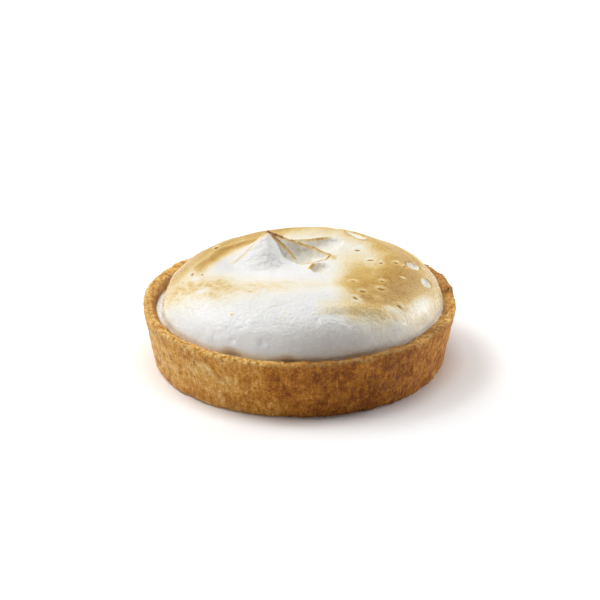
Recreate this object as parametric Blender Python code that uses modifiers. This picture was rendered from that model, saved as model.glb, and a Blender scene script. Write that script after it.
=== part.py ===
"""A small lemon meringue tart: a straight-sided pastry case with a swirled, torched dollop of meringue.

The tart stands on z = 0 with the case's axis on Z. Lengths are in millimetres and become metres as each mesh
is made. Angles are in degrees about Z from +X, so that 90 is the back, 180 the left and 270 the front.
"""

import math

import bpy
import numpy as np
from mathutils import noise

METRES = 0.001

# The pastry case
RIM_RADIUS = 45.0  # outside, at the top
BASE_RADIUS = 41.3  # outside, at the bottom
CASE_HEIGHT = 18.0
WALL = 3.7
FLOOR = 4.0
CORNER = 1.6  # of the lower edge, and of the corner between wall and floor inside
RIM_ROUND = 0.9  # how far the rounded rim falls to each side
CASE_STEPS = 96
SPLIT_TURN = 8.0  # where the rim is cracked and its two ends stand at different heights
SPLIT_STEP = 1.1
SPLIT_RUN = 36.0  # degrees over which the raised end comes down again

# The dollop of meringue
SEAM = 0.35  # between meringue and pastry
REACH = 41.0  # the widest radius of its outline
DOME_RISE = 12.6  # of the plain dome, over the rim
UNDERCUT = 0.9  # how far it draws in again above its foot
FOOT_DROP = 1.0  # of the thin foot that joins it to the pastry, below the rim
FOOT_RINGS = (1.3, 1.0, 0.5)  # depths of the foot's rings, from the wall inwards, in drops of the foot
DOME_STEPS = 96
DOME_RINGS = 34
SWIRL_CENTRE = (-1.0, 0.0)
SWIRL_WIDTH = 6.0

# The curled peak, left where the meringue was pulled up: x and y of its tip, and its rise over the dome
PEAK = (-9.0, 5.5)
PEAK_RISE = 7.2

# The sharp ridges that run down from the peak: x, y and rise over the dome along each one
LEFT_RIDGE = ((-9.0, 5.5, 7.2), (-12.0, 4.4, 4.6), (-16.0, 2.4, 2.0), (-19.5, 0.6, 0.3))
RIGHT_RIDGE = ((-9.0, 5.5, 7.2), (-5.8, 4.9, 4.2), (-3.2, 3.6, 2.3), (-1.0, 2.2, 0.4))
FAR_RIDGE = ((-9.0, 5.5, 7.2), (-3.7, 7.4, 4.0), (0.1, 8.2, 2.9), (4.1, 7.5, 1.7), (8.9, 4.3, 0.1))
BACK_RIDGE = ((-2.6, 8.2, 3.4), (1.0, 11.6, 2.4), (5.0, 14.0, 0.9), (9.2, 15.2, 0.1))
LIP_RIDGE = ((0.1, -0.6, 0.1), (5.3, -0.1, 0.15), (7.6, 1.0, 0.25), (8.9, 4.3, 0.1))
RIDGE_WIDTH = 0.7

# Hollows with crisp edges beside the peak, and burst bubbles: x, y, half length, half width, turn and depth
SCOOPS = ((1.6, 3.6, 7.3, 4.2, 0.0, 1.9), (6.0, 10.6, 7.4, 4.2, 16.0, 2.0), (6.1, -3.6, 2.5, 2.6, 0.0, 2.0))
BUBBLES = (
    (16.5, 16.5, 3.8, 1.3, -44.0, 0.6),
    (32.5, 1.2, 1.7, 2.7, -20.0, 0.6),
    (36.0, -5.8, 1.4, 2.4, -10.0, 0.6),
)


def bump(turn, centre, width):
    """1 where the angle turn is centre, falling smoothly to 0 on both sides of it."""
    away = (turn - centre + 180.0) % 360.0 - 180.0
    return np.exp(-((away / width) ** 2))


def lumps(points, size, seed):
    """Smooth noise from about -1 to 1, in lumps of this size."""
    placed = points / size + 19.7 * seed
    return np.array([noise.noise(place) for place in placed.tolist()])


def turned(name, profile, steps):
    """An object turned about Z from a profile of (radius, height) points that runs up its outer side.

    It is turned from the reversed profile, which makes the faces point out.
    """
    corners = [(radius, 0.0, height) for radius, height in reversed(profile)]
    edges = [(i, i + 1) for i in range(len(corners) - 1)]
    outline = bpy.data.meshes.new(name + "_profile")
    outline.from_pydata(corners, edges, [])
    guide = bpy.data.objects.new(name + "_profile", outline)
    bpy.context.scene.collection.objects.link(guide)
    screw = guide.modifiers.new("Turn", "SCREW")
    screw.steps = steps
    screw.render_steps = steps
    screw.use_merge_vertices = True
    screw.merge_threshold = 0.0001
    graph = bpy.context.evaluated_depsgraph_get()
    mesh = bpy.data.meshes.new_from_object(guide.evaluated_get(graph))
    mesh.name = name
    bpy.data.objects.remove(guide)
    return bpy.data.objects.new(name, mesh)


def sculpted(obj, shape):
    """Moves each point of a turned object to where the function shape puts it, and into metres."""
    points = np.empty(len(obj.data.vertices) * 3, np.float32)
    obj.data.vertices.foreach_get("co", points)
    points = shape(points.reshape(-1, 3).astype(float)) * METRES
    obj.data.vertices.foreach_set("co", points.astype(np.float32).ravel())
    obj.data.shade_smooth()
    obj.data.update()
    return obj


# The pastry case


def outside(height):
    """Radius of the case's outer face at a height."""
    return BASE_RADIUS + (RIM_RADIUS - BASE_RADIUS) * height / CASE_HEIGHT


def inside(height):
    """Radius of the case's inner face at a height."""
    return outside(height) - WALL


def case_profile():
    """The case's section, from the middle of its underside up the wall, over the rim and down inside."""
    shoulder = CASE_HEIGHT - RIM_ROUND
    profile = [(0.0, 0.0), (BASE_RADIUS - 0.5 * WALL, 0.0), (outside(0.0) - 0.3 * CORNER, 0.3 * CORNER)]
    profile += [(outside(height), height) for height in np.linspace(CORNER, shoulder, 9)]
    for across in (0.12, 0.35, 0.65, 0.88):
        fall = RIM_ROUND * abs(2 * across - 1) ** 2.5
        profile.append((outside(CASE_HEIGHT) - across * WALL, CASE_HEIGHT - fall))
    profile += [(inside(height), height) for height in np.linspace(shoulder, FLOOR + CORNER, 5)]
    profile += [(inside(FLOOR) - CORNER, FLOOR), (0.0, FLOOR)]
    return profile


def crumbly(points):
    """The turned case with an uneven wall, a crumbly rim with one crack in it, and a chipped lower edge."""
    x, y, z = points.T
    radius = np.hypot(x, y)
    turn = np.degrees(np.arctan2(y, x))
    outer = np.clip((radius - inside(z)) / (0.5 * WALL), 0, 1) * np.clip(0.3 + z / CORNER, 0, 1)
    swell = outer * (0.30 * lumps(points, 10, 1) + 0.30 * lumps(points, 5, 2))
    low_edge = np.exp(-((z / 2.0) ** 2)) * (radius > BASE_RADIUS - 0.6 * WALL)
    grown = swell - 0.8 * low_edge * np.clip(lumps(points, 6, 3), 0, 1)
    flat = points * (1, 1, 0)
    level = 0.40 * lumps(flat, 12, 4) + 0.45 * lumps(flat, 5, 5)
    past = (turn - SPLIT_TURN) % 360.0
    level += SPLIT_STEP * np.exp(-((past / SPLIT_RUN) ** 2)) + 0.4 * bump(turn, 150, 25)
    level *= np.clip((z - CASE_HEIGHT + 4.0) / 4.0, 0, 1)
    scale = 1 + grown / np.maximum(radius, 1.0)
    return np.column_stack([x * scale, y * scale, z + level])


# The meringue


def outline(turn):
    """The dollop's widest radius: it fills the case at the front and right, with a gap at the back left."""
    narrowed = 1.4 * bump(turn, 184, 26) + 3.2 * bump(turn, 140, 32) + 1.6 * bump(turn, 82, 30)
    narrowed += 0.9 * bump(turn, 42, 22) + 0.5 * bump(turn, 222, 18)
    return REACH - narrowed


def foot_drop(turn):
    """How far below the rim the foot meets the pastry."""
    return FOOT_DROP + 4.0 * bump(turn, 125, 38) + 2.2 * bump(turn, 52, 34)


def dome_height(x, y):
    """Height of the plain dome over the rim, which is steepest at the front and boxy on the right."""
    turn = np.degrees(np.arctan2(y, x))
    share = np.clip(np.hypot(x, y) / outline(turn), 0, 1)
    fullness = 3.1 + 0.9 * bump(turn, 350, 60) + 4.5 * bump(turn, 284, 38)
    return DOME_RISE * np.sqrt(1 - share**fullness)


def swirl(x, y):
    """The raised ring that the spatula left round the peak, and the valley inside it."""
    from_x, from_y = x - SWIRL_CENTRE[0], y - SWIRL_CENTRE[1]
    turn = np.degrees(np.arctan2(from_y, from_x))
    radius = 26.0 - 5.0 * bump(turn, 95, 45) + 2.5 * bump(turn, 335, 45)
    rise = 0.5 + 1.2 * bump(turn, 68, 48) + 1.0 * bump(turn, 138, 30) + 0.5 * bump(turn, 335, 50)
    ring = rise * np.exp(-(((np.hypot(from_x, from_y) - radius) / SWIRL_WIDTH) ** 2))
    from_peak = np.hypot(x - PEAK[0], y - PEAK[1])
    return ring - np.exp(-(((from_peak - 11.0) / 5.0) ** 2))


def ridge(x, y, path):
    """Rise of a ridge with concave sides along a path of (x, y, rise) points, and how near its line is."""
    best, near = np.zeros_like(x), np.zeros_like(x)
    for (x0, y0, rise0), (x1, y1, rise1) in zip(path, path[1:]):
        along_x, along_y = x1 - x0, y1 - y0
        share = ((x - x0) * along_x + (y - y0) * along_y) / (along_x**2 + along_y**2)
        share = np.clip(share, 0, 1)
        away = np.hypot(x - x0 - share * along_x, y - y0 - share * along_y)
        rise = rise0 + share * (rise1 - rise0)
        best = np.maximum(best, rise * np.exp(-away / (RIDGE_WIDTH + 0.3 * rise)))
        near = np.maximum(near, np.exp(-((away / RIDGE_WIDTH) ** 2)))
    return best, near


def hollow(x, y, centre_x, centre_y, half_length, half_width, turn, depth):
    """Depth of an oval hollow with a crisp edge."""
    cosine, sine = math.cos(math.radians(turn)), math.sin(math.radians(turn))
    along = (x - centre_x) * cosine + (y - centre_y) * sine
    across = (y - centre_y) * cosine - (x - centre_x) * sine
    share = (along / half_length) ** 2 + (across / half_width) ** 2
    return depth * np.sqrt(np.clip(1 - share**1.5, 0, 1))


def cone(x, y):
    """The peak without its ridges: steep at the back, and running out far to the left and the front."""
    side = np.degrees(np.arctan2(y - PEAK[1], x - PEAK[0]))
    off_front = (side - 238.0 + 180.0) % 360.0 - 180.0
    base = 7.2 + 4.6 * np.exp(-((off_front / 68.0) ** 4)) - 3.4 * bump(side, 357, 20)
    return PEAK_RISE * np.clip(1 - np.hypot(x - PEAK[0], y - PEAK[1]) / base, 0, 1) ** 1.35


def meringue_height(x, y):
    """Height of the meringue's top over the rim."""
    raised = cone(x, y)
    sunk = np.zeros_like(x)
    for place in SCOOPS + BUBBLES:
        sunk = np.maximum(sunk, hollow(x, y, *place))
    sunk *= np.clip(1.4 - raised / 2.2, 0, 1)
    for path in (LEFT_RIDGE, RIGHT_RIDGE, FAR_RIDGE, BACK_RIDGE, LIP_RIDGE):
        crest, near = ridge(x, y, path)
        raised = np.maximum(raised, crest)
        sunk *= 1 - near
    return dome_height(x, y) + swirl(x, y) + raised - sunk


def dollop_profile(rings):
    """The plain section of the dollop: along the floor, up the wall, in over the foot and up the dome."""
    walled = np.linspace(FLOOR + CORNER, 0.6 * CASE_HEIGHT, 3)
    profile = [(0.0, FLOOR + SEAM), (inside(FLOOR) - CORNER - 2 * SEAM, FLOOR + SEAM)]
    profile += [(inside(height) - SEAM, height) for height in walled]
    profile += [(REACH - UNDERCUT * depth, CASE_HEIGHT - FOOT_DROP * depth) for depth in FOOT_RINGS]
    for ring in range(rings + 1):
        share = math.sin(math.pi / 2 * (1 - ring / rings) ** 1.35)
        profile.append((share * REACH, CASE_HEIGHT + DOME_RISE * math.sqrt(1 - share**2)))
    return profile


def dolloped(points):
    """The turned dollop drawn out to its own outline, with its swirl, peak and hollows."""
    x, y, z = points.T
    radius = np.hypot(x, y)
    turn = np.degrees(np.arctan2(y, x))
    cosine, sine = np.cos(np.radians(turn)), np.sin(np.radians(turn))
    reach = outline(turn)
    # The foot and the underside of the bulge
    depth = (CASE_HEIGHT - z) / FOOT_DROP
    foot = (depth > 0) & (depth < FOOT_RINGS[0] + 0.01)
    low = np.where(foot, CASE_HEIGHT - depth * foot_drop(turn), z)
    at_wall = depth > FOOT_RINGS[0] - 0.01
    wall_side = np.where(foot, inside(low) - SEAM, radius)
    low_radius = np.where(at_wall, wall_side, reach - UNDERCUT * depth)
    # The dome, its rings gathered towards the peak
    share = np.clip(radius / REACH, 0, 1)
    gathered = (1 - share) ** 1.5
    top_x = cosine * share * reach + gathered * PEAK[0]
    top_y = sine * share * reach + gathered * PEAK[1]
    bulk = np.column_stack([top_x, top_y, CASE_HEIGHT + meringue_height(top_x, top_y)])
    swell = 0.45 * lumps(bulk, 14, 6) + 0.18 * lumps(bulk, 6, 7)
    bulk[:, 2] += swell * np.clip((REACH - radius) / 3.0, 0, 1)
    lower = np.column_stack([cosine * low_radius, sine * low_radius, low])
    on_dome = z > CASE_HEIGHT - 0.01
    return np.where(on_dome[:, None], bulk, lower)


def material(name, colour, roughness):
    made = bpy.data.materials.new(name)
    made.use_nodes = True
    shader = made.node_tree.nodes["Principled BSDF"]
    shader.inputs["Base Color"].default_value = (*colour, 1.0)
    shader.inputs["Roughness"].default_value = roughness
    shader.inputs["Metallic"].default_value = 0.0
    return made


def main():
    for old in list(bpy.data.objects):
        bpy.data.objects.remove(old)
    tart = bpy.data.collections.new("lemon_tart")
    bpy.context.scene.collection.children.link(tart)
    crust = sculpted(turned("crust", case_profile(), CASE_STEPS), crumbly)
    crust.data.materials.append(material("baked_pastry", (0.42, 0.22, 0.08), 0.7))
    meringue = sculpted(turned("meringue", dollop_profile(DOME_RINGS), DOME_STEPS), dolloped)
    meringue.data.materials.append(material("torched_meringue", (0.86, 0.80, 0.70), 0.5))
    for piece in (crust, meringue):
        tart.objects.link(piece)


main()
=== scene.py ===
"""The looks of a small lemon meringue tart: a crumbly baked case and a swirled, torched dollop of meringue.

Lengths are in millimetres about the middle of the case's underside and become metres as each mesh is
made. Angles are in degrees about Z from +X, so that 90 is the back, 180 the left and 270 the front. The
sizes of the case are those of the solids. The section of the rim, and the outline, foot, hollows and peak of
the meringue, follow the photograph a little more closely than the solids do.
"""

import math

import bpy
import numpy as np
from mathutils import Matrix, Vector, noise


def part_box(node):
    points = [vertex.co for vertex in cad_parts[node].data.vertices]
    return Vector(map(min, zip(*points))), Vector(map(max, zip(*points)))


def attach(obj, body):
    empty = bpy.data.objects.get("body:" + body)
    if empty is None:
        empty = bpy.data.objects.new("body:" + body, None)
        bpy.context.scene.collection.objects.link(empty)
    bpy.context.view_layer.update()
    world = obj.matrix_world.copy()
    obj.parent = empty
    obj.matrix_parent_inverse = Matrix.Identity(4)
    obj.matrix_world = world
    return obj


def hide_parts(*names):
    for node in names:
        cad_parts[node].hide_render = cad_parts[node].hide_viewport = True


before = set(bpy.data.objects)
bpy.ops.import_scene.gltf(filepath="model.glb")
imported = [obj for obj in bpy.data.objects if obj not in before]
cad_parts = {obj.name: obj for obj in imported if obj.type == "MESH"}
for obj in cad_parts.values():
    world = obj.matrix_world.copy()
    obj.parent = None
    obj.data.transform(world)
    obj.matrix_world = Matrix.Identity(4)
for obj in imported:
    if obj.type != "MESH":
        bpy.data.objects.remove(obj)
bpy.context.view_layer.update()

METRES = 0.001

# The pastry case
RIM_RADIUS = 45.0  # outside, at the top
BASE_RADIUS = 41.3  # outside, at the bottom
CASE_HEIGHT = 18.0
WALL = 3.7
FLOOR = 4.0
CORNER = 1.6  # of the lower edge, and of the corner between wall and floor inside
RIM_ROUND = 0.9  # how far the rounded rim falls to each side
CREST = 0.30  # how far across the wall the rim is highest, from outside
CREST_FALL = 0.5  # of the rim towards the inside at the front
OPEN_FALL = 1.1  # and more of it where the meringue leaves the inside open
CASE_STEPS = 1000  # points round the case
CRUMB_DEPTH = 4.0  # below the rim, where its crumbs and uneven height have faded out
CRUMBS_OVER = 0.5  # how far the rim's crumbs may rise past the solid's highest point
SPLIT_TURN = 8.0  # where the rim is cracked and its two ends stand at different heights
SPLIT_STEP = 1.1  # between the two ends
SPLIT_RUN = 36.0  # degrees over which the raised end comes down again
DARK_TURN = 300.0  # the side that is coloured darkest, partly baked browner and partly painted shade
DARK_REACH = 40.0  # degrees to each side of it

# The dollop of meringue
SEAM = 0.35  # between the solids of meringue and pastry
REACH = 41.0  # the widest radius of its outline
DOME_RISE = 12.6  # of the plain dome, over the rim
UNDERCUT = 0.9  # how far it draws in again above its foot
FOOT_DROP = 1.0  # of the thin foot that joins it to the pastry, below the rim
FOOT_MARGIN = 0.35  # of the foot below the inner edge of the rim
FOOT_BITE = 0.12  # how far the foot runs into the pastry's inner face
FOOT_DEPTHS = (0.12, 0.25, 0.4, 0.55, 0.7, 0.85, 0.95, 1.0)  # of the foot's rings, in drops of the foot
CORE_HEIGHT = 8.0  # of the hidden ring that closes the mesh inside the case
SWIRL_CENTRE = (-1.0, 0.0)
SWIRL_WIDTH = 6.0
GRID = 285  # points along each side of the grid that is bent into the dome
GRID_PULL = (-2.0, 5.0)  # how far the grid's middle is moved, so that it is finest round the peak
SKIN_RINGS = 9  # rings of the foot that carry the skin's relief

# The film between a foot that stops short and the wall: share of the way across, climb, and strength
FILM_STEPS = ((0.15, 0.0, 0.6), (0.4, 0.05, 0.1), (0.65, 0.15, 0.1), (0.85, 0.35, 0.5), (1.0, 0.75, 1.0))

# Where the meringue's lower edge lifts off the pastry and leaves a dark slot, its shadow partly painted:
# turn, width and strength
SLOTS = ((243.4, 4.0, 1.0), (266.0, 3.6, 0.8))

# The curled peak, left where the meringue was pulled up: x and y of its tip, and its rise over the dome
PEAK = (-9.0, 5.5)
PEAK_RISE = 6.8
PEAK_AREA = (-4.0, 5.0)  # middle of the rumpled cone and hollows, without the spatula's rings
PEAK_REACH = 10.0

# The sharp ridges that run down from the peak: x, y and rise over the dome along each one
LEFT_RIDGE = ((*PEAK, PEAK_RISE), (-12.0, 4.4, 4.6), (-16.0, 2.4, 2.0), (-19.5, 0.6, 0.3))
RIGHT_RIDGE = ((*PEAK, PEAK_RISE), (-5.8, 4.9, 4.2), (-3.2, 3.6, 2.3), (-1.0, 2.2, 0.4))
FAR_RIDGE = ((*PEAK, PEAK_RISE), (-3.7, 7.4, 4.0), (0.1, 8.2, 2.9), (4.1, 7.5, 1.7), (8.9, 4.3, 0.1))
BACK_RIDGE = ((-2.6, 8.2, 3.4), (1.0, 11.6, 2.4), (5.0, 14.0, 0.9), (9.2, 15.2, 0.1))
LIP_RIDGE = ((0.1, -0.6, 0.1), (5.3, -0.1, 0.15), (7.6, 1.0, 0.25), (8.9, 4.3, 0.1))
RIDGE_WIDTH = 0.7

# Hollows with crisp edges beside the peak, and burst bubbles: x, y, half length, half width, turn and depth
SCOOPS = ((1.6, 3.6, 7.3, 4.2, 0.0, 1.7), (5.6, 10.5, 7.0, 4.2, 16.0, 1.6), (6.0, -4.9, 2.7, 3.6, 0.0, 2.6))
BUBBLES = (
    (16.5, 16.5, 3.8, 1.3, -44.0, 0.8),
    (32.5, 1.2, 1.7, 2.7, -20.0, 1.0),
    (36.0, -5.8, 1.4, 2.4, -10.0, 0.9),
)

# Small burst bubbles, each a slit with a burnt edge and a pale swollen lip: x, y, half length and turn
SLITS = (
    (15.3, -15.6, 0.9, -20.0),
    (23.4, -14.9, 0.7, -15.0),
    (22.9, -19.2, 1.1, 0.0),
    (17.8, -22.7, 0.9, 0.0),
    (15.7, -26.6, 0.7, -25.0),
    (20.3, 0.2, 0.9, -10.0),
    (23.3, -2.2, 0.5, 0.0),
    (27.5, -1.5, 0.7, -10.0),
    (30.0, -2.4, 0.7, 70.0),
    (28.1, -23.6, 0.7, -30.0),
    (16.6, 7.2, 0.7, -10.0),
    (34.8, 3.4, 0.6, -40.0),
    (-24.0, 12.6, 0.6, 20.0),
    (-30.4, -4.1, 0.6, 80.0),
    (-27.6, -6.6, 0.4, 20.0),
)

# Where the flame coloured the meringue, one field partly painted shade: x, y, strength and width along each
# stroke
FIELD_EDGE = 2.6  # power of a field's edge, which is harder than a stroke's
WANDER = 1.5  # how far the edges of fields and strokes wander
# Painted shade: a faint tint inside the hollows and burst bubbles.
HOLLOW_PAINTED_SHADE = 0.14
SLIT_BURN = 1.1
BUBBLE_BURN = 1.3
TOAST_AND_SHADE_FIELDS = (
    ((-37.0, -6.0, 0.54, 5.5), (-35.0, 3.0, 0.80, 7.5), (-29.0, 12.0, 0.82, 8.5), (-20.0, 20.0, 0.76, 9.0),
     (-8.0, 26.0, 0.90, 9.5), (4.0, 28.0, 0.92, 10.5), (16.0, 25.5, 0.84, 10.5), (26.0, 16.0, 0.76, 10.5),
     (31.0, 4.0, 0.84, 11.0), (29.5, -8.0, 0.92, 11.5), (25.0, -16.0, 0.95, 11.0)),
    ((13.0, 8.0, 0.22, 6.0), (16.5, 1.0, 0.45, 7.0), (18.0, -8.0, 0.76, 7.5), (18.0, -18.0, 0.88, 7.8),
     (19.0, -24.0, 0.90, 7.0), (26.0, -21.0, 0.92, 7.0)),
    # Toast with painted shade, where the front turns down under the right patch.
    ((9.0, -31.0, 0.26, 3.4), (15.0, -30.6, 0.58, 4.4), (22.0, -28.6, 0.68, 4.2)),
    ((37.0, 8.0, 0.74, 6.0), (38.5, -4.0, 0.66, 5.0)),
)
TOAST_STROKES = (
    ((-29.5, -5.0, 0.60, 3.0), (-28.0, 0.5, 0.88, 3.2), (-24.5, 7.0, 0.92, 3.0), (-18.8, 12.0, 0.95, 2.8),
     (-12.8, 16.0, 0.85, 2.8), (-6.0, 19.0, 0.65, 2.6), (2.0, 21.0, 0.55, 3.0)),
    ((-34.0, -9.0, 0.54, 6.5), (-26.0, -14.5, 0.56, 6.8), (-18.0, -18.5, 0.46, 6.2),
     (-10.0, -19.5, 0.36, 6.0), (0.0, -18.5, 0.25, 5.6), (9.0, -18.5, 0.22, 5.0)),
    ((6.3, -33.9, 0.22, 1.0), (11.4, -32.6, 0.40, 1.3), (16.4, -31.2, 0.50, 1.6), (22.6, -29.6, 0.55, 2.0),
     (27.5, -26.5, 0.50, 2.2)),
    ((-28.4, -11.6, 0.60, 1.6), (-26.6, -11.4, 0.55, 1.5)),
)

# Toasted flecks, and pale patches where the skin stayed smooth, the last a painted highlight: x, y, half
# length and width, turn, strength
FLECKS = (
    (-19.8, -16.8, 0.6, 0.4, 0.0, 0.5),
    (-17.9, -17.7, 0.7, 0.4, 10.0, 0.6),
    (-13.9, -22.3, 1.0, 0.35, -35.0, 0.9),
    (-15.4, -21.9, 0.6, 0.4, 10.0, 0.6),
    (-11.4, -24.0, 0.6, 0.4, 0.0, 0.6),
    (-18.8, -30.5, 0.6, 0.55, 0.0, 0.75),
    (-4.2, -33.6, 0.4, 0.4, 0.0, 0.35),
    (-5.1, -35.4, 0.6, 0.5, 0.0, 0.3),
    (31.8, -15.4, 0.4, 0.4, 0.0, 0.9),
    (23.2, -2.2, 0.4, 0.35, 0.0, 0.9),
    (-32.0, -12.0, 0.9, 0.5, -30.0, 0.35),
    (-36.0, -8.0, 0.6, 0.9, -30.0, 0.35),
    (-23.0, -13.0, 0.8, 0.4, 5.0, 0.4),
    (-8.0, -18.2, 0.8, 0.3, 0.0, 0.3),
)
PALE_PATCHES_AND_PAINTED_HIGHLIGHT = (
    (26.6, -25.7, 3.0, 1.2, 12.0, 0.55),
    (16.6, -27.0, 2.0, 1.3, -10.0, 0.40),
    (22.1, -23.3, 1.6, 1.0, 0.0, 0.30),
    (-27.7, -16.2, 2.0, 1.4, -15.0, 0.80),
    (-29.6, -7.5, 0.9, 2.4, 15.0, 0.60),
    (17.6, 9.5, 1.0, 0.7, 0.0, 0.60),
    (29.4, -9.8, 0.9, 0.5, 0.0, 0.75),
    # A painted highlight: the sheen on the right shoulder, left pale.
    (34.0, -18.0, 1.7, 6.2, -30.0, 0.62),
)

# Burnt lines along the ridges: x, y, strength and width
BURN_LIMIT = 1.7
BURN_STEPS = 6  # from each point of a line to the next
RIDGE_BURNS = (
    ((*PEAK, 1.35, 0.8), (-8.0, 5.7, 1.2, 0.6), (-3.7, 7.4, 0.95, 0.5), (0.1, 8.2, 0.95, 0.5),
     (4.1, 7.5, 1.0, 0.5), (8.9, 4.3, 1.15, 0.5)),
    ((*PEAK, 1.2, 0.7), (-5.8, 4.9, 0.95, 0.6), (-3.2, 3.6, 0.95, 0.5), (-1.0, 2.2, 0.7, 0.4)),
    ((-2.6, 8.2, 0.6, 0.4), (1.0, 11.6, 0.7, 0.4), (5.0, 14.0, 1.0, 0.45), (9.2, 15.2, 0.7, 0.4)),
    ((*PEAK, 0.8, 0.6), (-12.0, 4.4, 0.36, 0.7), (-16.0, 2.4, 0.34, 0.8), (-19.0, 0.9, 0.32, 0.8)),
    ((0.6, -0.6, 0.75, 0.4), (5.3, -0.1, 1.05, 0.45), (7.6, 1.0, 1.15, 0.45), (8.9, 4.3, 1.15, 0.5)),
    ((9.8, 3.2, 0.65, 1.1), (10.0, 1.6, 0.6, 1.0)),
    ((4.0, -1.6, 0.9, 0.5), (3.2, -4.9, 1.0, 0.6), (4.2, -7.6, 0.8, 0.5), (6.2, -8.6, 0.5, 0.4)),
)

# Where the spatula left the top lapping a little over the front: x, y, step and softness
LAP_REACH = 1.3  # from the line back to the raised edge, and
LAP_DROP = 1.2  # from the line down to the groove under it
LAP = ((3.0, -34.5, 0.0, 1.6), (9.1, -33.4, 0.35, 1.6), (14.1, -31.8, 0.45, 1.6), (19.2, -30.6, 0.35, 1.8),
       (26.0, -28.6, 0.0, 2.0))

# Dents in the front: x, y, height over the rim, radius, and share of the depth, negative for a swelling
DENT_DEPTH = 2.1
DENTS = (
    (-18.2, -35.8, 3.6, 0.9, 0.35),
    (-20.4, -34.6, 3.2, 1.4, -0.14),
    (-25.0, -31.8, 3.0, 1.6, -0.12),
    (-23.4, -32.8, 3.6, 0.9, 0.10),
    (-10.4, -39.0, 4.0, 1.0, 0.25),
    (-8.8, -39.4, 3.2, 0.7, -0.3),
    (2.4, -40.3, 4.4, 0.6, 0.25),
    (4.9, -36.4, 9.6, 0.9, 0.2),
    (12.0, -36.0, 7.9, 0.9, -0.15),
    (13.6, -35.5, 8.4, 1.0, 0.12),
    (18.0, -31.2, 9.9, 0.5, -0.2),
    (-16.5, -34.0, 7.1, 0.9, -0.12),
)

# Thin creases: x, y, share of the depth and width along each one
CREASE_DEPTH = 1.6
CREASES = (
    ((-9.4, -32.0, 0.05, 0.3), (-8.0, -31.6, 0.14, 0.3), (-4.5, -30.7, 0.12, 0.3), (-2.0, -29.8, 0.05, 0.3)),
    ((-27.7, 8.7, 0.1, 0.4), (-23.5, 12.4, 0.35, 0.45), (-19.4, 15.5, 0.1, 0.4)),
    ((29.0, 14.0, 0.2, 0.4), (33.0, 9.0, 0.3, 0.45), (35.5, 3.5, 0.1, 0.4)),
)

# Display colours from 0 to 255, and where they stand on each ramp
WALL_COLOURS = (
    (0.08, (253, 224, 160)),
    (0.30, (238, 180, 90)),
    (0.55, (209, 136, 42)),
    (0.80, (160, 92, 22)),
    (1.00, (118, 64, 14)),
)
RIM_COLOURS = ((0.34, (188, 120, 42)), (0.50, (240, 184, 92)), (0.64, (255, 228, 158)))
INNER_COLOURS = ((0.3, (160, 104, 46)), (0.7, (202, 150, 90)))
DARK_RIM = (150, 90, 32)
BLOTCH = (172, 96, 34)
SPOT = (140, 70, 22)
PALE_FLECK = (238, 202, 136)
TOAST_AND_PAINTED_LIGHT_COLOURS = (
    (0.00, (243, 242, 240)),
    (0.10, (246, 239, 222)),
    (0.22, (240, 222, 178)),
    (0.34, (222, 187, 110)),
    (0.46, (195, 151, 68)),
    (0.60, (146, 92, 38)),
    (0.85, (100, 50, 26)),
)
# The foot film's grey-beige, also used as painted shadow in the slots under the lifted edge.
FILM_AND_SLOT_SHADOW_COLOUR = (212, 188, 156)
# Painted shade: a greyer colour laid low on the front, where the dome turns away from the lamps, and in the
# slots.
PAINTED_SHADE_COLOUR = (206, 197, 184)


def bump(turn, centre, width):
    """1 where the angle turn is centre, falling smoothly to 0 on both sides of it."""
    away = (turn - centre + 180.0) % 360.0 - 180.0
    return np.exp(-((away / width) ** 2))


def lumps(points, size, seed):
    """Smooth noise from about -1 to 1, in lumps of this size."""
    placed = points / size + 19.7 * seed
    return np.array([noise.noise(place) for place in placed.tolist()])


def crumb_cells(points, size):
    """Sharp-edged crumbs of this size: about 0.5 in the middle of each and below 0 between them."""
    values = np.zeros(len(points))
    high = points[:, 2] > CASE_HEIGHT - CRUMB_DEPTH
    values[high] = [0.5 - noise.voronoi(place)[0][0] for place in (points[high] / size).tolist()]
    return values


# The pastry case


def outside(height):
    """Radius of the case's outer face at a height."""
    return BASE_RADIUS + (RIM_RADIUS - BASE_RADIUS) * height / CASE_HEIGHT


def inside(height):
    """Radius of the case's inner face at a height."""
    return outside(height) - WALL


def opened(turn):
    """How far the rim slopes inwards: where the meringue leaves the inside of the wall open."""
    return np.clip(1.4 * bump(turn, 135, 75), 0, 1)


def crumbly(points):
    """The turned case with an uneven wall, a crumbly rim with one crack in it, and a chipped lower edge."""
    x, y, z = points.T
    radius = np.hypot(x, y)
    turn = np.degrees(np.arctan2(y, x))
    outer = np.clip((radius - inside(z)) / (0.5 * WALL), 0, 1) * np.clip(0.3 + z / CORNER, 0, 1)
    swell = outer * (0.30 * lumps(points, 10, 1) + 0.30 * lumps(points, 5, 2))
    low_edge = np.exp(-((z / 2.0) ** 2)) * (radius > BASE_RADIUS - 0.6 * WALL)
    grown = swell - 0.8 * low_edge * np.clip(lumps(points, 6, 3), 0, 1)
    flat = points * (1, 1, 0)
    level = 0.40 * lumps(flat, 12, 4) + 0.45 * lumps(flat, 5, 5)
    past = (turn - SPLIT_TURN) % 360.0
    level += SPLIT_STEP * np.exp(-((past / SPLIT_RUN) ** 2)) + 0.4 * bump(turn, 150, 25)
    level *= np.clip((z - CASE_HEIGHT + CRUMB_DEPTH) / CRUMB_DEPTH, 0, 1)
    scale = 1 + grown / np.maximum(radius, 1.0)
    return np.column_stack([x * scale, y * scale, z + level])


# The meringue


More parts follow.
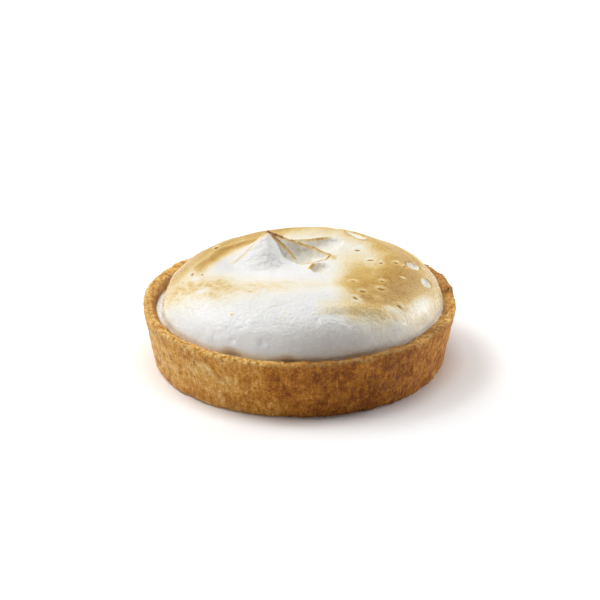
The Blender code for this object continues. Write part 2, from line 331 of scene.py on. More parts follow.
def outline(turn):
    """The dollop's widest radius: it fills the case at the front and right, with a gap at the back left."""
    narrowed = 1.4 * bump(turn, 178, 19) + 3.2 * bump(turn, 140, 32) + 1.6 * bump(turn, 82, 30)
    narrowed += 0.9 * bump(turn, 42, 22) - 0.7 * bump(turn, 264, 58)
    return REACH - narrowed


def foot_drop(turn):
    """How far below the rim the foot meets the pastry."""
    deeper = 0.9 * bump(turn, 185, 20) - 0.2 * bump(turn, 270, 55)
    return FOOT_DROP + deeper + 4.0 * bump(turn, 125, 38) + 2.2 * bump(turn, 52, 34)


def dome_height(x, y):
    """Height of the plain dome over the rim, which is steepest at the front and boxy on the right."""
    turn = np.degrees(np.arctan2(y, x))
    share = np.clip(np.hypot(x, y) / outline(turn), 0, 1)
    fullness = 3.1 + 0.9 * bump(turn, 350, 60) + 4.5 * bump(turn, 276, 36)
    return DOME_RISE * np.sqrt(1 - share**fullness)


def swirl(x, y):
    """The raised ring that the spatula left round the peak, and the valley inside it."""
    from_x, from_y = x - SWIRL_CENTRE[0], y - SWIRL_CENTRE[1]
    turn = np.degrees(np.arctan2(from_y, from_x))
    radius = 26.0 - 5.0 * bump(turn, 95, 45) + 2.5 * bump(turn, 335, 45)
    rise = 0.5 + 1.2 * bump(turn, 68, 48) + 1.0 * bump(turn, 138, 30) + 0.5 * bump(turn, 335, 50)
    ring = rise * np.exp(-(((np.hypot(from_x, from_y) - radius) / SWIRL_WIDTH) ** 2))
    from_peak = np.hypot(x - PEAK[0], y - PEAK[1])
    return ring - np.exp(-(((from_peak - 11.0) / 5.0) ** 2))


def ridge(x, y, path):
    """Rise of a ridge with concave sides along a path of (x, y, rise) points, and how near its line is."""
    best, near = np.zeros_like(x), np.zeros_like(x)
    for (x0, y0, rise0), (x1, y1, rise1) in zip(path, path[1:]):
        along_x, along_y = x1 - x0, y1 - y0
        share = ((x - x0) * along_x + (y - y0) * along_y) / (along_x**2 + along_y**2)
        share = np.clip(share, 0, 1)
        away = np.hypot(x - x0 - share * along_x, y - y0 - share * along_y)
        rise = rise0 + share * (rise1 - rise0)
        best = np.maximum(best, rise * np.exp(-away / (RIDGE_WIDTH + 0.3 * rise)))
        near = np.maximum(near, np.exp(-((away / RIDGE_WIDTH) ** 2)))
    return best, near


def oval(x, y, centre_x, centre_y, half_length, half_width, turn):
    """0 in the middle of an oval and 1 on its edge, growing with the square of the distance."""
    cosine, sine = math.cos(math.radians(turn)), math.sin(math.radians(turn))
    along = (x - centre_x) * cosine + (y - centre_y) * sine
    across = (y - centre_y) * cosine - (x - centre_x) * sine
    return (along / half_length) ** 2 + (across / half_width) ** 2


def hollow(x, y, centre_x, centre_y, half_length, half_width, turn, depth):
    """Depth of an oval hollow with a crisp edge."""
    share = oval(x, y, centre_x, centre_y, half_length, half_width, turn)
    return depth * np.sqrt(np.clip(1 - share**1.5, 0, 1))


def cone(x, y):
    """The peak without its ridges: steep at the back, and running out far to the left and the front."""
    side = np.degrees(np.arctan2(y - PEAK[1], x - PEAK[0]))
    off_front = (side - 238.0 + 180.0) % 360.0 - 180.0
    base = 7.2 + 4.6 * np.exp(-((off_front / 68.0) ** 4)) - 3.4 * bump(side, 357, 20)
    return PEAK_RISE * np.clip(1 - np.hypot(x - PEAK[0], y - PEAK[1]) / base, 0, 1) ** 1.35


def meringue_height(x, y):
    """Height of the meringue's top over the rim."""
    raised = cone(x, y)
    sunk = np.zeros_like(x)
    for place in SCOOPS + BUBBLES:
        sunk = np.maximum(sunk, hollow(x, y, *place))
    sunk *= np.clip(1.4 - raised / 2.2, 0, 1)
    for path in (LEFT_RIDGE, RIGHT_RIDGE, FAR_RIDGE, BACK_RIDGE, LIP_RIDGE):
        crest, near = ridge(x, y, path)
        raised = np.maximum(raised, crest)
        sunk *= 1 - near
    return dome_height(x, y) + swirl(x, y) + raised - sunk


# Meshes


def mesh_object(name, points, faces, marks):
    """A smooth object from points in millimetres, its faces, and a number per point for each named mark."""
    mesh = bpy.data.meshes.new(name)
    mesh.from_pydata((points * METRES).tolist(), [], faces)
    for mark, values in marks.items():
        layer = mesh.attributes.new(mark, "FLOAT", "POINT")
        layer.data.foreach_set("value", np.asarray(values, np.float32))
    mesh.shade_smooth()
    mesh.validate()
    obj = bpy.data.objects.new(name, mesh)
    bpy.context.scene.collection.objects.link(obj)
    return obj


def bands(rings, size, first=0):
    """Quads between rings of points, each ring of this size and one after the other."""
    faces = []
    for ring in range(rings - 1):
        here, above = first + ring * size, first + (ring + 1) * size
        for step in range(size):
            after = (step + 1) % size
            faces.append((here + step, here + after, above + after, above + step))
    return faces


def normals_of(points, faces):
    """A unit normal at each point of a mesh of quads and triangles."""
    normals = np.zeros_like(points)
    quads = np.array([face if len(face) == 4 else (*face, face[2]) for face in faces])
    across = np.cross(points[quads[:, 2]] - points[quads[:, 0]], points[quads[:, 3]] - points[quads[:, 1]])
    for corner in range(4):
        np.add.at(normals, quads[:, corner], across)
    return normals / np.maximum(np.linalg.norm(normals, axis=1, keepdims=True), 1e-9)


# The crust


def case_section():
    """The case's section in small steps, from the middle of its underside round the rim to the inside."""
    shoulder = CASE_HEIGHT - RIM_ROUND
    section = [(radius, 0.0) for radius in (14.0, 28.0, 36.0, BASE_RADIUS - 0.5 * WALL)]
    section += [(outside(0.0) - 0.9, 0.0), (outside(0.0) - 0.5, 0.12), (outside(0.0) - 0.2, 0.4)]
    section += [(outside(height), height) for height in np.linspace(0.9, shoulder, 43)]
    for across in np.linspace(0.04, 0.97, 15):
        off = (across - CREST) / (1 - CREST) if across > CREST else (CREST - across) / CREST
        fall = CREST_FALL * off**1.5 if across > CREST else RIM_ROUND * off**2.2
        section.append((outside(CASE_HEIGHT) - across * WALL, CASE_HEIGHT - fall))
    inner_heights = np.linspace(CASE_HEIGHT - CREST_FALL, FLOOR + CORNER, 24)
    section += [(inside(height), height) for height in inner_heights]
    section += [(inside(FLOOR) - CORNER, FLOOR), (20.0, FLOOR)]
    return section


def crumb_relief(points):
    """Fine relief of the pastry along its normal: crumbs on the rim, pits, streaks down the wall."""
    x, y, z = points.T
    radius = np.hypot(x, y)
    rim = np.clip((z - CASE_HEIGHT + 2.6) / 2.2, 0, 1)
    inner = np.clip((inside(z) + 0.4 - radius) / 0.4, 0, 1)
    streaked = points * (1, 1, 0.14)
    streaks = 0.14 * lumps(streaked, 1.4, 21) + 0.09 * lumps(streaked, 0.8, 22)
    grain = 0.16 * lumps(points, 2.4, 23) + 0.11 * lumps(points, 1.2, 24)
    pits = -0.45 * np.clip(lumps(points, 1.8, 25) - 0.38, 0, 1) * 2
    crumbs = 0.50 * crumb_cells(points, 1.6) + 0.50 * crumb_cells(points, 0.9)
    crumbs = (crumbs + 0.25 * lumps(points, 3.0, 26)) * (1 + 0.8 * lumps(points, 4.0, 27))
    relief = (1 - rim) * (streaks + grain + pits) + rim * crumbs
    return relief * (1 - 0.5 * inner) * (z > 0.02)


def make_crust():
    """The case's mesh, marked with how much rim and inner face each point is, and its baked browning with
    painted shade.
    """
    section = case_section()
    turns = np.arange(CASE_STEPS) * 2 * math.pi / CASE_STEPS
    cosine, sine = np.cos(turns), np.sin(turns)
    rings = [np.column_stack([r * cosine, r * sine, np.full(CASE_STEPS, h)]) for r, h in section]
    plain = np.vstack(rings + [[(0, 0, 0), (0, 0, FLOOR)]])
    faces = bands(len(section), CASE_STEPS)
    under, over = len(plain) - 2, len(plain) - 1
    last = (len(section) - 1) * CASE_STEPS
    for step in range(CASE_STEPS):
        after = (step + 1) % CASE_STEPS
        faces.append((after, step, under))
        faces.append((last + step, last + after, over))
    wall_share = (np.hypot(plain[:, 0], plain[:, 1]) - inside(plain[:, 2])) / WALL
    inner_share = np.clip((1 - CREST - wall_share) / (1 - CREST), 0, 1)
    plain_turn = np.degrees(np.arctan2(plain[:, 1], plain[:, 0]))
    sloping = opened(plain_turn) * np.clip((plain[:, 2] - CASE_HEIGHT + CRUMB_DEPTH) / 3.0, 0, 1)
    points = crumbly(plain)
    points[:, 2] -= OPEN_FALL * sloping * inner_share**1.3
    points += normals_of(points, faces) * crumb_relief(points)[:, None]
    low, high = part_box("crust")
    points = np.clip(points, np.array(low) / METRES, np.array(high) / METRES + (0, 0, CRUMBS_OVER))
    x, y, z = points.T
    turn = np.degrees(np.arctan2(y, x))
    ragged = 0.35 * lumps(points, 2.2, 31)
    rim = np.clip((plain[:, 2] - CASE_HEIGHT + 1.5) / 1.3 + ragged, 0, 1)
    inner = np.clip((inner_share - 0.5) / 0.3 + ragged, 0, 1)
    inner = inner * np.clip(1.5 * sloping + (z < CASE_HEIGHT - 1.5), 0, 1)
    # Partly uneven baking, partly painted shade: browner towards the front right, away from the key lamp,
    # paler on the left, browner low on the front left.
    from_dark = (turn - DARK_TURN + 180) % 360 - 180
    bake_and_shade = 0.30 + 0.65 * np.exp(-((from_dark / DARK_REACH) ** 4))
    bake_and_shade += -0.44 * bump(turn, 190, 46) + 0.70 * bump(turn, 20, 28) - 0.16 * bump(turn, 322, 14)
    bake_and_shade += 0.22 * np.clip(1 - z / 11.0, 0, 1) * bump(turn, 222, 32) + 0.35 * lumps(points, 7.0, 32)
    marks = {"rim": rim, "inner": inner, "bake_and_shade": np.clip(bake_and_shade, 0, 1)}
    return mesh_object("crust_baked", points, faces, marks)


# The meringue's surface


def stroke(x, y, path, power=2):
    """Strength of a soft stroke along (x, y, strength, width) points; a higher power flattens it."""
    best = np.zeros_like(x)
    for (x0, y0, s0, w0), (x1, y1, s1, w1) in zip(path, path[1:]):
        along_x, along_y = x1 - x0, y1 - y0
        share = ((x - x0) * along_x + (y - y0) * along_y) / (along_x**2 + along_y**2)
        share = np.clip(share, 0, 1)
        away = np.hypot(x - x0 - share * along_x, y - y0 - share * along_y)
        width = w0 + share * (w1 - w0)
        best = np.maximum(best, (s0 + share * (s1 - s0)) * np.exp(-((away / width) ** power)))
    return best


def crest_burn(points, path):
    """Strength of a burnt line that stays close to the crest of a ridge."""
    line = np.array(path)
    stops = np.linspace(0, len(line) - 1, BURN_STEPS * (len(line) - 1) + 1)
    x_at, y_at, strength, width = (np.interp(stops, np.arange(len(line)), column) for column in line.T)
    crest = np.column_stack([x_at, y_at, CASE_HEIGHT + meringue_height(x_at, y_at)])
    best = np.zeros(len(points))
    for place, (start, end) in enumerate(zip(crest, crest[1:])):
        run = end - start
        share = np.clip(((points - start) @ run) / (run @ run), 0, 1)
        away = np.linalg.norm(points - start - share[:, None] * run, axis=1)
        best = np.maximum(best, strength[place] * np.exp(-((away / (1.3 * width[place])) ** 2)))
    return best


def toast_with_painted_light(points):
    """How brown the flame left each point, from 0, white, to 1, and over 1 where burnt, with painted shade
    and highlight.
    """
    x, y, z = points.T
    wander_x, wander_y = x + WANDER * lumps(points, 6.0, 41), y + WANDER * lumps(points, 6.0, 42)
    broad = np.zeros_like(x)
    # The third field paints shade as well as toast.
    for path in TOAST_AND_SHADE_FIELDS:
        broad = np.maximum(broad, stroke(wander_x, wander_y, path, FIELD_EDGE))
    for path in TOAST_STROKES:
        broad = np.maximum(broad, stroke(wander_x, wander_y, path))
    turn = np.arctan2(y, x)
    swept = np.column_stack([np.hypot(x, y) * 2.2, 9.0 * np.cos(turn), 9.0 * np.sin(turn)])
    left_front = np.clip((-y - 5.0) / 5.0, 0, 1) * np.clip((12.0 - x) / 5.0, 0, 1)
    streaky = 1 + left_front * (0.25 * lumps(swept, 2.6, 46) + 0.42 * lumps(points, 1.2, 47))
    side = np.clip((z - CASE_HEIGHT + 0.3) / 2.6, 0, 1)
    broad = broad * side * streaky * (1 + 0.05 * lumps(points, 4.0, 43) + 0.05 * lumps(points, 1.7, 44))
    for place in SCOOPS + BUBBLES:
        broad = broad * np.clip((oval(x, y, *place[:5]) - 0.8) / 0.3, 0.08, 1)
    # The last pale patch is a painted highlight.
    for *place, strength in PALE_PATCHES_AND_PAINTED_HIGHLIGHT:
        broad = broad * (1 - strength * np.exp(-(oval(x, y, *place) ** 1.5)))
    fine = np.zeros_like(x)
    for path in RIDGE_BURNS:
        fine = np.maximum(fine, crest_burn(points, path))
    fine = np.minimum(fine * (1 + 0.4 * lumps(points, 1.5, 45)), BURN_LIMIT)
    # Painted shade inside the hollows and bubbles.
    for place in SCOOPS + BUBBLES:
        fine = np.maximum(fine, HOLLOW_PAINTED_SHADE * np.exp(-(oval(x, y, *place[:5]) ** 3)))
    for *place, strength in FLECKS:
        fine = np.maximum(fine, strength * np.exp(-oval(x, y, *place)))
    for centre_x, centre_y, half_length, slit_turn in SLITS:
        pale = oval(x, y, centre_x, centre_y + 0.4, 2.0 * half_length, 1.6, slit_turn)
        broad = broad * (1 - 0.5 * np.exp(-pale * 1.5))
        burnt = oval(x, y, centre_x, centre_y, 1.35 * half_length, 0.5, slit_turn)
        fine = np.maximum(fine, SLIT_BURN * np.exp(-(burnt**2)))
    for bubble in BUBBLES:
        rim = np.exp(-(((oval(x, y, *bubble[:5]) - 1.35) / 0.4) ** 2))
        rim = rim * (0.8 + 0.5 * lumps(points, 2.0, 48))
        fine = np.maximum(fine, BUBBLE_BURN * rim * (broad > 0.2))
    return np.clip(np.maximum(broad, fine), 0, 2)


def skin_relief(points):
    """Fine relief of the meringue along its normal: spatula strokes, slits, dents and a rumpled skin."""
    x, y, z = points.T
    turn = np.arctan2(y - SWIRL_CENTRE[1], x - SWIRL_CENTRE[0])
    radius = np.hypot(x - SWIRL_CENTRE[0], y - SWIRL_CENTRE[1])
    swept = np.column_stack([radius + 0.35 * z, 3.0 * np.cos(turn), 3.0 * np.sin(turn)])
    from_middle = np.hypot(x - PEAK_AREA[0], y - PEAK_AREA[1])
    away_from_peak = np.clip((from_middle - PEAK_REACH) / 6, 0, 1)
    relief = 0.10 * lumps(swept, 2.2, 51) * away_from_peak
    rumples = 0.16 * lumps(points * (1, 1, 0.5), 1.5, 55) + 0.06 * lumps(points, 0.8, 56)
    relief += (1 - away_from_peak) * rumples
    front = 1 + 1.2 * np.clip((CASE_HEIGHT + 9.0 - z) / 4.0, 0, 1)
    relief += 0.12 * front * lumps(points, 4.0, 52) + 0.05 * lumps(points, 1.7, 53)
    relief += 0.012 * lumps(points, 0.9, 54)
    relief += stroke(x, y, [(a, b + LAP_REACH, step, soft) for a, b, step, soft in LAP])
    relief -= 0.8 * stroke(x, y, [(a, b - LAP_DROP, step, soft) for a, b, step, soft in LAP])
    for path in CREASES:
        relief -= CREASE_DEPTH * stroke(x, y, path)
    for dent_x, dent_y, height, reach, depth in DENTS:
        away = np.hypot(np.hypot(x - dent_x, y - dent_y), z - CASE_HEIGHT - height)
        relief -= DENT_DEPTH * depth * np.exp(-((away / reach) ** 2))
    for centre_x, centre_y, half_length, slit_turn in SLITS:
        slit = oval(x, y, centre_x, centre_y, 1.2 * half_length, 0.4, slit_turn)
        lip = oval(x, y, centre_x, centre_y + 0.8, 1.4 * half_length, 0.7, slit_turn)
        relief += 0.16 * np.exp(-lip) - 0.22 * np.exp(-(slit**1.5))
    return relief


def dome_shares(count):
    """Shares of the dome's radius that lie evenly along its section, closer together near the middle."""
    share = np.linspace(0, 1, 4001)
    rise = DOME_RISE * np.sqrt(1 - share**3.3)
    step = np.hypot(np.diff(share) * REACH, np.diff(rise))
    crowding = 1 + 0.7 * np.exp(-((share[1:] * REACH / 17.0) ** 4))
    run = np.concatenate([[0], np.cumsum(step * crowding)])
    return np.interp(np.linspace(0, 1, count), run / run[-1], share)


def notched(turn):
    """How far the meringue's lower edge lifts off the pastry, from 0 to 1."""
    return sum(strength * bump(turn, centre, width) for centre, width, strength in SLOTS)


def dome_grid():
    """Points and quads of a square grid bent into the dome, and the indices of its edge in order."""
    line = np.linspace(-1, 1, GRID)
    u, v = (a.ravel() for a in np.meshgrid(line, line))
    disc_x, disc_y = u * np.sqrt(1 - v * v / 2), v * np.sqrt(1 - u * u / 2)
    spread = np.hypot(disc_x, disc_y)
    turn = np.degrees(np.arctan2(disc_y, disc_x))
    share = np.interp(spread, np.linspace(0, 1, 1001), dome_shares(1001))
    pulled = (1 - share) ** 1.5
    x = np.cos(np.radians(turn)) * share * outline(turn) + GRID_PULL[0] * pulled
    y = np.sin(np.radians(turn)) * share * outline(turn) + GRID_PULL[1] * pulled
    bulk = np.column_stack([x, y, CASE_HEIGHT + meringue_height(x, y)])
    swell = 0.45 * lumps(bulk, 14, 6) + 0.18 * lumps(bulk, 6, 7)
    bulk[:, 2] += swell * np.clip((1 - share) * REACH / 3.0, 0, 1)
    index = np.arange(GRID * GRID).reshape(GRID, GRID)
    faces = np.stack([index[:-1, :-1], index[:-1, 1:], index[1:, 1:], index[1:, :-1]], -1)
    edge = np.concatenate([index[0, :-1], index[:-1, -1], index[-1, :0:-1], index[:0:-1, 0]])
    return bulk, faces.reshape(-1, 4).tolist(), edge


def foot_rings(edge_points):
    """Rings of points below the dome's edge, and how much foot film and painted slot shadow each one carries.

    Where the meringue stops short of the pastry it draws in above a thin foot that climbs the wall, and
    elsewhere it runs straight down onto the wall.
    """
    turn = np.degrees(np.arctan2(edge_points[:, 1], edge_points[:, 0]))
    cosine, sine = np.cos(np.radians(turn)), np.sin(np.radians(turn))
    reach = np.hypot(edge_points[:, 0], edge_points[:, 1])
    flat = np.column_stack([cosine, sine, 0 * cosine]) * REACH
    waver = 0.35 * lumps(flat, 5.0, 61) + 0.2 * lumps(flat, 2.2, 62)
    short = np.clip((inside(CASE_HEIGHT) - reach - 0.8) / 0.9 + 0.4 * waver, 0, 1)
    slot = notched(turn)
    inner_edge = CREST_FALL + OPEN_FALL * opened(turn)
    drop = np.maximum(foot_drop(turn) + 0.6 * waver, inner_edge + FOOT_MARGIN)
    wall = inside(CASE_HEIGHT - drop) + FOOT_BITE
    rings, film_and_slot_shadows = [], []
    for depth in FOOT_DEPTHS:
        pinched = reach - UNDERCUT * math.sin(depth * math.pi / 2) * (1 + waver)
        straight = reach + np.maximum(wall + 0.25 - reach, 0.15) * depth
        drawn_in = (pinched - straight) * np.maximum(short, 0.4 * slot)
        rings.append((straight + drawn_in, CASE_HEIGHT - depth * drop))
        # The slots get this colour too: painted shadow under the lifted edge.
        film_and_slot_shadows.append(np.maximum(short, slot) * max(0.0, depth - 0.5) * 2.0)
    inner = rings[-1][0]
    for across, climb, film_and_slot_shadow in FILM_STEPS:
        height = CASE_HEIGHT - drop + climb * (0.6 + 0.5 * waver)
        rings.append((inner + across * (wall - inner), height))
        # Adding the slot here paints its shadow.
        film_and_slot_shadows.append(film_and_slot_shadow * short + slot)
    rings.append((inside(CORE_HEIGHT) - SEAM + 0 * turn, CORE_HEIGHT + 0 * turn))
    rings.append((inside(FLOOR) - CORNER - 2 * SEAM + 0 * turn, FLOOR + SEAM + 0 * turn))
    film_and_slot_shadows += [0 * turn, 0 * turn]
    placed = [np.column_stack([cosine * radius, sine * radius, height]) for radius, height in rings]
    return placed, np.clip(np.concatenate(film_and_slot_shadows), 0, 1)


def make_meringue():
    """The meringue's mesh, marked with toast and painted light, film and painted slot shadow, painted shade
    and ruffles.
    """
    dome, faces, edge = dome_grid()
    turn = np.degrees(np.arctan2(dome[:, 1], dome[:, 0]))
    lifted = notched(turn) * np.clip(1 - (dome[:, 2] - CASE_HEIGHT) / 1.9, 0, 1) ** 0.7
    inwards = 1 - 0.6 * lifted / np.maximum(np.hypot(dome[:, 0], dome[:, 1]), 1)
    dome[:, :2] *= inwards[:, None]
    rings, film_and_slot_shadows = foot_rings(dome[edge])
    points = np.vstack([dome] + rings + [[(0, 0, FLOOR + SEAM)]])
    size = len(edge)
    first = len(dome)
    for step in range(size):
        after = (step + 1) % size
        faces.append((edge[after], edge[step], first + step, first + after))
    faces += [(b, a, d, c) for a, b, c, d in bands(len(rings), size, first)]
    last, middle = first + (len(rings) - 1) * size, len(points) - 1
    for step in range(size):
        faces.append((last + (step + 1) % size, last + step, middle))
    faces = [tuple(int(i) for i in face) for face in faces]
    # Toast, with painted shade in hollows and low on the front right, and a painted highlight on the right
    # shoulder.
    toast_and_painted_light = toast_with_painted_light(points)
    film_and_slot_shadow = np.concatenate([np.zeros(len(dome)), film_and_slot_shadows, [0.0]])
    skinned = np.arange(len(points)) < first + SKIN_RINGS * size
    relief = skin_relief(points) * skinned
    points += normals_of(points, faces) * relief[:, None]
    turn = np.degrees(np.arctan2(points[:, 1], points[:, 0]))
    over_rim = points[:, 2] - CASE_HEIGHT
    # Painted shade low on the front of the dome, and painted shadow in the slots where its lower edge lifts.
    painted_shade = 1.1 * np.clip(1 - over_rim / 10.0, 0, 1) ** 0.8 * bump(turn, 285, 23)
    painted_shade += 0.8 * notched(turn) * np.clip(1 - over_rim / 1.6, 0, 1)
    ruffled = np.clip((over_rim - 3.0) / 7.0, 0.3, 1)
    marks = {"toast_and_painted_light": toast_and_painted_light, "film_and_slot_shadow": film_and_slot_shadow, "painted_shade": np.clip(painted_shade, 0, 1.3), "ruffled": ruffled}
    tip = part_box("meringue")[1].z / METRES
    points[:, 2] = np.minimum(points[:, 2], tip)
    return mesh_object("meringue_torched", points, faces, marks)


# Materials


def new_material(name):
    material = bpy.data.materials.new(name)
    material.use_nodes = True
    return material, material.node_tree, material.node_tree.nodes["Principled BSDF"]


def srgb(red, green, blue):
    """A linear colour from a display colour of 0 to 255."""
    def linear(value):
        value /= 255
        return value / 12.92 if value <= 0.04045 else ((value + 0.055) / 1.055) ** 2.4
    return (linear(red), linear(green), linear(blue), 1.0)


class Shade:
    """Short names for the nodes of one material."""

    def __init__(self, tree):
        self.tree = tree
        self.place = self.add("ShaderNodeTexCoord").outputs["Object"]

    def add(self, kind, **values):
        node = self.tree.nodes.new(kind)
        for name, value in values.items():
            setattr(node, name, value)
        return node

    def link(self, source, target):
        self.tree.links.new(source, target)

    def mark(self, name):
        """The number that the mesh carries on each point under this name."""
        return self.add("ShaderNodeAttribute", attribute_name=name).outputs["Fac"]

    def stretched(self, x, y, z):
        """The place on the object, scaled along each axis."""
        node = self.add("ShaderNodeMapping")
        node.inputs["Scale"].default_value = (x, y, z)
        self.link(self.place, node.inputs["Vector"])
        return node.outputs["Vector"]

    def noise(self, size, detail=2.0, rough=0.5, place=None):
        """Noise in lumps of this size in millimetres, from 0 to 1."""
        node = self.add("ShaderNodeTexNoise")
        node.inputs["Scale"].default_value = 1 / (size * METRES)
        node.inputs["Detail"].default_value = detail
        node.inputs["Roughness"].default_value = rough
        self.link(place or self.place, node.inputs["Vector"])
        return node.outputs["Fac"]

    def cells(self, size):
        """Distance from the nearest of scattered points this far apart."""
        node = self.add("ShaderNodeTexVoronoi")
        node.inputs["Scale"].default_value = 1 / (size * METRES)
        self.link(self.place, node.inputs["Vector"])
        return node.outputs["Distance"]

    def maths(self, kind, a, b, clamp=False):
        node = self.add("ShaderNodeMath", operation=kind, use_clamp=clamp)
        for socket, value in zip(node.inputs, (a, b)):
            if isinstance(value, (int, float)):
                socket.default_value = value
            else:
                self.link(value, socket)
        return node.outputs[0]

    def fit(self, value, low, high, to_low=0.0, to_high=1.0):
        """The value moved from one range to another, and kept inside it."""
        node = self.add("ShaderNodeMapRange")
        self.link(value, node.inputs["Value"])
        for name, number in zip(("From Min", "From Max", "To Min", "To Max"), (low, high, to_low, to_high)):
            node.inputs[name].default_value = number
        return node.outputs["Result"]

    def ramp(self, value, stops):
        """Colour from stops of a position and a display colour."""
        node = self.add("ShaderNodeValToRGB")
        elements = node.color_ramp.elements
        while len(elements) < len(stops):
            elements.new(0.5)
        for element, (position, colour) in zip(elements, stops):
            element.position = position
            element.color = srgb(*colour)
        self.link(value, node.inputs["Fac"])
        return node.outputs["Color"]

    def mix(self, share, a, b):
        """Colour a, with this share of colour b."""
        node = self.add("ShaderNodeMix", data_type="RGBA")
        for socket, value in ((node.inputs[0], share), (node.inputs[6], a), (node.inputs[7], b)):
            if isinstance(value, (int, float, tuple)):
                socket.default_value = value
            else:
                self.link(value, socket)
        return node.outputs[2]

    def bump(self, height, distance, under=None):
        """A normal bent by height, in millimetres of relief."""
        node = self.add("ShaderNodeBump")
        node.inputs["Distance"].default_value = distance * METRES
        self.link(height, node.inputs["Height"])
        if under is not None:
            self.link(under, node.inputs["Normal"])
        return node.outputs["Normal"]


def pastry_material():
    """Mottled golden pastry, browner where it is baked more and where shade is painted, with a pale rim and a
    plainer inner face.
    """
    material, tree, shader = new_material("baked_pastry")
    s = Shade(tree)
    streaked = s.stretched(1.0, 1.0, 0.2)
    mottle = s.fit(s.noise(2.0, 4.0, 0.65), 0.33, 0.67, 0.0, 0.5)
    for layer in (
        s.fit(s.noise(6.0, 2.0), 0.3, 0.7, 0.0, 0.1),
        s.fit(s.noise(0.8, 3.0, 0.6, streaked), 0.3, 0.7, -0.03, 0.37),
        s.fit(s.noise(0.45, 2.0, 0.6), 0.3, 0.7, -0.2, 0.14),
    ):
        mottle = s.maths("ADD", mottle, layer)
    bake_and_shade = s.mark("bake_and_shade")
    browned = s.maths("MULTIPLY", mottle, 0.64)
    browned = s.maths("ADD", browned, s.maths("MULTIPLY", bake_and_shade, 0.5), clamp=True)
    on_rim = s.mark("rim")
    rim = s.ramp(s.noise(1.1, 3.0, 0.6), RIM_COLOURS)
    # The rim browns by the same mark, so partly with painted shade.
    rim = s.mix(s.fit(bake_and_shade, 0.60, 0.85, 0.0, 0.6), rim, srgb(*DARK_RIM))
    colour = s.mix(s.maths("MULTIPLY", on_rim, 0.85), s.ramp(browned, WALL_COLOURS), rim)
    colour = s.mix(s.mark("inner"), colour, s.ramp(s.noise(2.6, 3.0, 0.6), INNER_COLOURS))
    blotches = s.fit(s.noise(3.6, 3.0, 0.6), 0.53, 0.64, 0.0, 0.5)
    blotches = s.maths("MULTIPLY", blotches, s.fit(on_rim, 0.0, 0.6, 1.0, 0.0))
    colour = s.mix(blotches, colour, srgb(*BLOTCH))
    spots = s.fit(s.cells(1.9), 0.32, 0.14)
    spots = s.maths("MULTIPLY", spots, s.fit(s.noise(3.0), 0.50, 0.58), clamp=True)
    colour = s.mix(s.maths("MULTIPLY", spots, 0.6), colour, srgb(*SPOT))
    flecks = s.fit(s.cells(1.1), 0.15, 0.09)
    where = s.fit(s.noise(3.6, 2.0, 0.5, streaked), 0.55, 0.62)
    flecks = s.maths("MULTIPLY", flecks, where, clamp=True)
    colour = s.mix(s.maths("MULTIPLY", flecks, 0.6), colour, srgb(*PALE_FLECK))
    s.link(colour, shader.inputs["Base Color"])
    s.link(s.fit(s.noise(0.9, 2.0), 0.3, 0.7, 0.45, 0.80), shader.inputs["Roughness"])
    shader.inputs["Specular IOR Level"].default_value = 0.28
    shader.inputs["Subsurface Weight"].default_value = 0.06
    shader.inputs["Subsurface Radius"].default_value = (1.0, 0.5, 0.2)
    shader.inputs["Subsurface Scale"].default_value = 0.001
    coarse = s.bump(s.noise(0.9, 3.0, 0.6), 0.85)
    s.link(s.bump(s.noise(0.28, 2.0, 0.6), 0.2, coarse), shader.inputs["Normal"])
    return material


def meringue_material():
    """White meringue, toasted by its mark, greyer at its film and where shade and slot shadow are painted,
    finely ruffled.
    """
    material, tree, shader = new_material("torched_meringue")
    s = Shade(tree)
    # Painted light: this mark also holds painted shade and a painted highlight besides the toast.
    toast_and_painted_light = s.mark("toast_and_painted_light")
    speckle = s.fit(s.noise(0.55, 2.0, 0.6), 0.25, 0.75, -0.5, 0.5)
    blotch = s.fit(s.noise(1.6, 2.0, 0.5), 0.25, 0.75, -0.5, 0.5)
    uneven = s.maths("ADD", s.maths("MULTIPLY", speckle, 0.27), s.maths("MULTIPLY", blotch, 0.06))
    gain = s.fit(toast_and_painted_light, 0.0, 0.5)
    brown = s.maths("ADD", toast_and_painted_light, s.maths("MULTIPLY", uneven, gain))
    brown = s.maths("MULTIPLY", brown, 0.5, clamp=True)  # the ramp runs over marks from 0 to 2
    colour = s.ramp(brown, TOAST_AND_PAINTED_LIGHT_COLOURS)
    film_and_slot_shadow = s.mark("film_and_slot_shadow")
    colour = s.mix(s.maths("MULTIPLY", film_and_slot_shadow, 0.8), colour, srgb(*FILM_AND_SLOT_SHADOW_COLOUR))
    colour = s.mix(s.maths("MULTIPLY", s.mark("painted_shade"), 0.8), colour, srgb(*PAINTED_SHADE_COLOUR))
    s.link(colour, shader.inputs["Base Color"])
    matt = s.fit(s.noise(1.2, 2.0), 0.3, 0.7, 0.28, 0.44)
    ruffled = s.mark("ruffled")
    gloss = s.maths("MAXIMUM", s.maths("MULTIPLY", film_and_slot_shadow, 0.3), s.fit(ruffled, 0.3, 1.0, 0.12, 0.0))
    s.link(s.maths("SUBTRACT", matt, gloss), shader.inputs["Roughness"])
    shader.inputs["Specular IOR Level"].default_value = 0.5
    shader.inputs["Subsurface Weight"].default_value = 0.35
    shader.inputs["Subsurface Radius"].default_value = (1.0, 0.85, 0.7)
    shader.inputs["Subsurface Scale"].default_value = 0.0015
    wrinkles = s.noise(0.9, 3.0, 0.6, s.stretched(0.35, 1.2, 1.0))
    soft = s.bump(s.maths("MULTIPLY", wrinkles, ruffled), 0.28)
    soft = s.bump(s.maths("MULTIPLY", s.noise(1.1, 4.0, 0.65), ruffled), 0.50, soft)
    soft = s.bump(s.maths("MULTIPLY", s.noise(0.4, 2.0, 0.5), ruffled), 0.06, soft)
    s.link(soft, shader.inputs["Normal"])
    return material


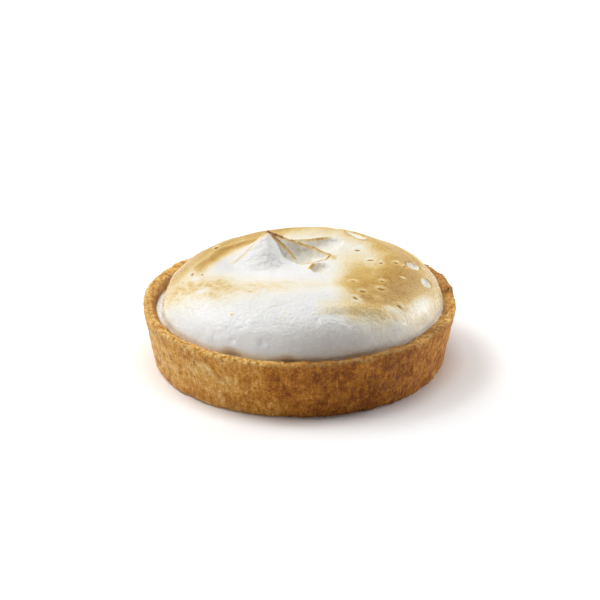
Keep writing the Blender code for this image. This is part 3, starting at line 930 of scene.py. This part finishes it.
def floor_material():
    material, _, shader = new_material("studio_floor")
    shader.inputs["Base Color"].default_value = (0.97, 0.97, 0.97, 1.0)
    shader.inputs["Roughness"].default_value = 0.9
    shader.inputs["Specular IOR Level"].default_value = 0.1
    shader.inputs["Emission Color"].default_value = (1.0, 1.0, 1.0, 1.0)
    shader.inputs["Emission Strength"].default_value = 0.05
    return material


# The studio

FLOOR_RADIUS = 4.0  # metres
FLOOR_GAP = 0.00005  # metres below the tart
FLOOR_SIDES = 64
CAMERA_HEIGHT_ANGLE = 23.69
CAMERA_DISTANCE = 1.2  # metres
FRAMED_WIDTH = 0.17202  # metres across the image at the tart
AIM = (0.00021, 0.0, 0.01805)  # metres

# Soft square lamps round the tart, each this far away and this wide, in metres
LAMP_DISTANCE = 1.3
LAMP_WIDTH = 0.6
WORLD_STRENGTH = 0.02

# Their turn and height angle in degrees, and power in watts
STUDIO_LAMPS = (
    ("key", 150, 50, 6.3),
    ("left_high", 180, 60, 4.8),
    ("left_low", 180, 25, 1.6),
    ("back", 120, 30, 2.6),
    ("right", 26, 15, 7.8),
    ("right_back", 60, 22, 2.2),
    ("top", 0, 88, 6.3),
    ("front_right", 0, 15, 0.4),
    ("front_left", 225, 12, 0.5),
)


def make_floor():
    mesh = bpy.data.meshes.new("floor")
    turns = [step * 2 * math.pi / FLOOR_SIDES for step in range(FLOOR_SIDES)]
    edge = [(FLOOR_RADIUS * math.cos(turn), FLOOR_RADIUS * math.sin(turn), -FLOOR_GAP) for turn in turns]
    mesh.from_pydata(edge, [], [range(FLOOR_SIDES)])
    obj = bpy.data.objects.new("floor", mesh)
    obj.data.materials.append(floor_material())
    bpy.context.scene.collection.objects.link(obj)
    return obj


def soft_light(name, turn, rise, power):
    """A square lamp that looks at the tart from an angle about Z and a height angle."""
    lamp = bpy.data.lights.new(name, "AREA")
    lamp.shape = "SQUARE"
    lamp.size = LAMP_WIDTH
    lamp.energy = power
    obj = bpy.data.objects.new(name, lamp)
    turn, rise = math.radians(turn), math.radians(rise)
    place = Vector((math.cos(turn) * math.cos(rise), math.sin(turn) * math.cos(rise), math.sin(rise)))
    place *= LAMP_DISTANCE
    obj.location = place + Vector(AIM)
    obj.rotation_euler = (-place).to_track_quat("-Z", "Y").to_euler()
    bpy.context.scene.collection.objects.link(obj)


def light_studio():
    scene = bpy.context.scene
    scene.view_settings.view_transform = "Standard"
    scene.world = bpy.data.worlds.new("studio")
    scene.world.use_nodes = True
    background = scene.world.node_tree.nodes["Background"]
    background.inputs["Color"].default_value = (1.0, 1.0, 1.0, 1.0)
    background.inputs["Strength"].default_value = WORLD_STRENGTH
    for lamp in STUDIO_LAMPS:
        soft_light(*lamp)


def place_camera():
    camera = bpy.data.objects.new("camera", bpy.data.cameras.new("camera"))
    rise = math.radians(CAMERA_HEIGHT_ANGLE)
    aim = Vector(AIM)
    camera.location = aim + CAMERA_DISTANCE * Vector((0, -math.cos(rise), math.sin(rise)))
    camera.rotation_euler = (aim - camera.location).to_track_quat("-Z", "Y").to_euler()
    camera.data.sensor_width = 36.0
    camera.data.lens = camera.data.sensor_width * CAMERA_DISTANCE / FRAMED_WIDTH
    camera.data.clip_end = 20.0
    bpy.context.scene.collection.objects.link(camera)
    bpy.context.scene.camera = camera


def dress(piece, node, material):
    """Gives a piece its material and lets it stand for a CAD node."""
    piece.data.materials.append(material)
    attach(piece, "root")
    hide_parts(node)


dress(make_crust(), "crust", pastry_material())
dress(make_meringue(), "meringue", meringue_material())
make_floor()
light_studio()
place_camera()
